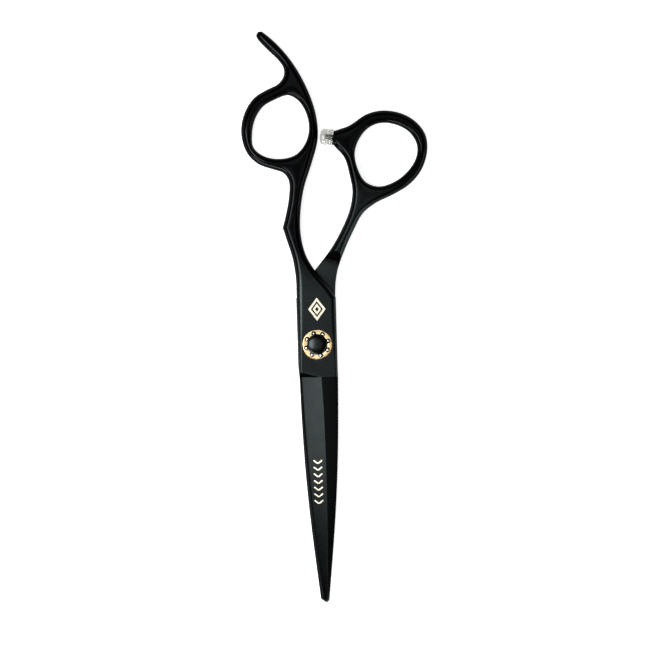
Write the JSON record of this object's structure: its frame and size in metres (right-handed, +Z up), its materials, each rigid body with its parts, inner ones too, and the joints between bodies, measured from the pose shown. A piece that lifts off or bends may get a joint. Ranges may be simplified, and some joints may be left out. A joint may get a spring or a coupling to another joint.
{
  "type": "hair cutting shears",
  "caption": "Offset hair cutting shears with ring handles, a fixed finger rest, ridged blades, a ball-bearing pivot and a soft bumper.",
  "frame": {"origin": "where the pivot's axis meets the surface the shut shears lie on, which is the outer end of the tension screw", "axes": "+Z up through the pivot from the thumb half to the domed barrel, -Y towards the blades' tips, +Y towards the handles, +X towards the thumb ring"},
  "size_m": [0.0598, 0.1843, 0.008],
  "materials": {
    "black_coat": "satin",
    "black_polish": "polished",
    "gold": "gloss",
    "steel": "polished",
    "bronze": "satin",
    "polymer": "matte",
    "silicone": "satin"
  },
  "bodies": {
    "finger_half": {"finger_blade": "black_coat", "pivot_bush": "bronze", "bearing_cup": "steel"},
    "thumb_half": {"thumb_blade": "black_coat", "pivot_barrel": "black_polish", "spring_washer": "steel", "ride_washer": "polymer", "bumper_stud": "steel", "bumper": "silicone"},
    "tension_screw": {"tension_screw": "steel"},
    "ball_cage": {"ball_cage": "gold", "bearing_ball_1": "steel", "bearing_ball_2": "steel", "bearing_ball_3": "steel", "bearing_ball_4": "steel", "bearing_ball_5": "steel", "bearing_ball_6": "steel", "bearing_ball_7": "steel", "bearing_ball_8": "steel"}
  },
  "joints": [
    {"name": "blade_pivot", "type": "hinge", "parent": "finger_half", "child": "thumb_half", "pos_m": [0, 0, 0.003], "axis": [0, 0, -1], "range_deg": [0, 65]},
    {"name": "tension_adjust", "type": "hinge", "parent": "thumb_half", "child": "tension_screw", "pos_m": [0, 0, 0.0005], "axis": [0, 0, -1], "range_deg": [-180, 180]},
    {"name": "ball_cage_roll", "type": "hinge", "parent": "finger_half", "child": "ball_cage", "pos_m": [0, 0, 0.00625], "axis": [0, 0, -1], "range_deg": [0, 30]}
  ],
  "couplings": [
    {"joint": "ball_cage_roll", "follows": "blade_pivot", "ratio": 0.45}
  ]
}
